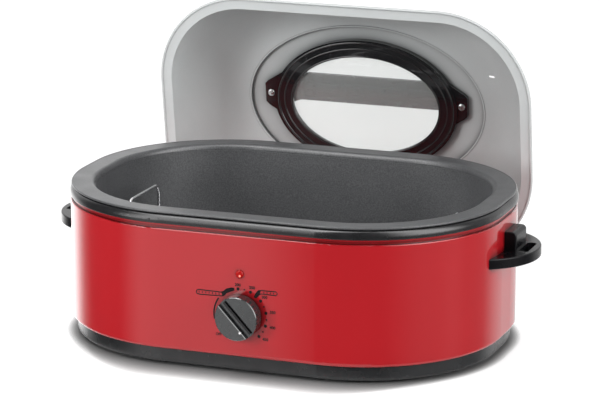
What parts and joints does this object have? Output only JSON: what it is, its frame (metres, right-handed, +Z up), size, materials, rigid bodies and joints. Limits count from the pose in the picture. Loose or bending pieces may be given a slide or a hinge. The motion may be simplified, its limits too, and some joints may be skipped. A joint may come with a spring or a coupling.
{
  "type": "electric roaster oven",
  "caption": "Countertop roaster: painted body, removable pan with wire rack, turning heat knob, moulded side handles and a lift-off domed lid with an oval window, parked behind.",
  "frame": {"origin": "on the worktop, under the middle of the whole footprint, parked lid included", "axes": "+X to the right of a person facing the knob, +Y from the knob towards the back, +Z up"},
  "size_m": [0.588, 0.5378, 0.3531],
  "materials": {
    "shell_red": "glossy red paint",
    "ring_black": "semi-gloss black",
    "liner_steel": "plain drawn steel",
    "base_black": "satin black",
    "shield_aluminium": "bright rolled sheet",
    "plain_steel": "zinc plated",
    "screw_steel": "zinc plated",
    "foot_rubber": "matt",
    "band_mica": "fibre wrapped",
    "terminal_brass": "plain",
    "glass_wool": "woven glass fibre",
    "inner_plastic": "dark moulding",
    "block_plastic": "cream moulding",
    "gland_plastic": "satin black",
    "lens_red": "clear red, glossy",
    "knob_black": "semi-gloss black",
    "pointer_black": "glossy black",
    "handle_black": "satin black",
    "rest_black": "satin black paint",
    "pan_enamel": "dark enamel, satin",
    "rack_chrome": "plated",
    "lid_grey": "satin grey paint",
    "frame_black": "glossy black",
    "window_glass": "clear tempered",
    "gasket_rubber": "black silicone"
  },
  "bodies": {
    "housing": {"outer_shell": "shell_red", "rim_ring": "ring_black", "well_liner": "liner_steel", "base_tray": "base_black", "heat_shield": "shield_aluminium", "liner_posts": "plain_steel", "base_screws": "screw_steel", "rubber_feet": "foot_rubber", "heater_band_left": "band_mica", "heater_band_right": "band_mica", "band_ties": "plain_steel", "band_terminals": "terminal_brass", "insulation_wrap": "glass_wool", "thermostat_bracket": "plain_steel", "thermostat": "inner_plastic", "indicator_lens": "lens_red", "lamp_holder": "inner_plastic", "terminal_block": "block_plastic", "cord_gland": "gland_plastic", "side_handle_left": "handle_black", "side_handle_right": "handle_black", "handle_screws": "screw_steel", "lid_rest_left": "rest_black", "lid_rest_right": "rest_black", "rest_screws": "screw_steel"},
    "knob": {"control_knob": "knob_black", "knob_pointer": "pointer_black", "thermostat_shaft": "plain_steel"},
    "pan": {"roasting_pan": "pan_enamel"},
    "rack": {"rack_frame": "rack_chrome", "rack_wires": "rack_chrome", "rack_runners": "rack_chrome", "rack_loops": "rack_chrome"},
    "lid": {"lid_shell": "lid_grey", "window_frame": "frame_black", "window_glass": "window_glass", "window_gasket": "gasket_rubber", "lid_handle": "handle_black", "lid_screws": "screw_steel"}
  },
  "joints": [
    {"name": "knob_turn", "type": "hinge", "parent": "housing", "child": "knob", "pos_m": [0.0057, -0.25375, 0.069], "axis": [0, 1, 0], "range_deg": [0, 180]},
    {"name": "pan_lift", "type": "slide", "parent": "housing", "child": "pan", "axis": [0, 0, 1], "range_m": [0, 0.16]},
    {"name": "rack_lift", "type": "slide", "parent": "pan", "child": "rack", "axis": [0, 0, 1], "range_m": [0, 0.14]},
    {"name": "lid_lift", "type": "slide", "parent": "housing", "child": "lid", "axis": [0, 0, 1], "range_m": [0, 0.2]}
  ]
}
